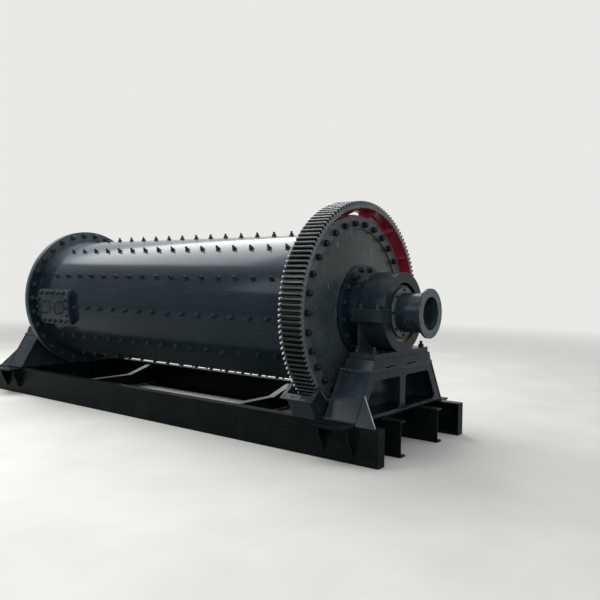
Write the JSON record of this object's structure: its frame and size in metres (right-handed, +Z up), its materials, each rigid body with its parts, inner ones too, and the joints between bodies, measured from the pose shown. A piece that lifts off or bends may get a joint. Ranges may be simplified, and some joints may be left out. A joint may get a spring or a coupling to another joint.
{
  "type": "ball mill",
  "caption": "Ball mill: welded drum with girth gear and hollow trunnions, turning in two bearings on A-shaped pedestals over a long channel-steel base frame.",
  "frame": {"origin": "on the floor, under the drum's axis and the middle of the shell", "axes": "+X along the drum towards the discharge end and the girth gear, +Y to the rear, away from the manhole, +Z up"},
  "size_m": [6.2, 2.1756, 2.377],
  "materials": {
    "shell_paint": "gloss",
    "base_paint": "gloss",
    "pedestal_paint": "gloss",
    "cast_housing": "painted",
    "cover_paint": "satin, scratched",
    "bearing_metal": "machined",
    "gear_steel": "machined, oiled",
    "gear_red": "primer"
  },
  "bodies": {
    "base": {"front_outer_beam": "base_paint", "rear_outer_beam": "base_paint", "feed_inner_beams": "base_paint", "discharge_inner_beams": "base_paint", "feed_tie_plates": "base_paint", "discharge_tie_plates": "base_paint", "gear_side_cross_member": "base_paint", "feed_side_cross_member": "base_paint", "feed_base_plate": "base_paint", "discharge_base_plate": "base_paint", "feed_pedestal_sides": "pedestal_paint", "discharge_pedestal_sides": "pedestal_paint", "feed_pedestal_slopes": "pedestal_paint", "discharge_pedestal_slopes": "pedestal_paint", "feed_top_plate": "pedestal_paint", "discharge_top_plate": "pedestal_paint", "feed_sole_plate": "pedestal_paint", "discharge_sole_plate": "pedestal_paint", "gear_guard": "pedestal_paint", "gear_guard_brackets": "pedestal_paint", "feed_bearing_housing": "cast_housing", "discharge_bearing_housing": "cast_housing", "feed_bearing_cap": "cast_housing", "discharge_bearing_cap": "cast_housing", "feed_bearing_bush": "bearing_metal", "discharge_bearing_bush": "bearing_metal"},
    "drum": {"shell": "shell_paint", "feed_shell_flange": "shell_paint", "discharge_shell_flange": "shell_paint", "feed_end_cover": "cover_paint", "discharge_end_cover": "cover_paint", "feed_trunnion": "shell_paint", "discharge_trunnion": "shell_paint", "feed_sleeve": "cover_paint", "discharge_sleeve": "cover_paint", "girth_gear_rim": "gear_steel", "girth_gear_web": "gear_red", "manhole_frame": "shell_paint", "manhole_cover": "shell_paint"}
  },
  "joints": [
    {"name": "drum_spin", "type": "hinge", "parent": "base", "child": "drum", "pos_m": [0, 0, 1.289], "axis": [1, 0, 0], "continuous": true}
  ]
}
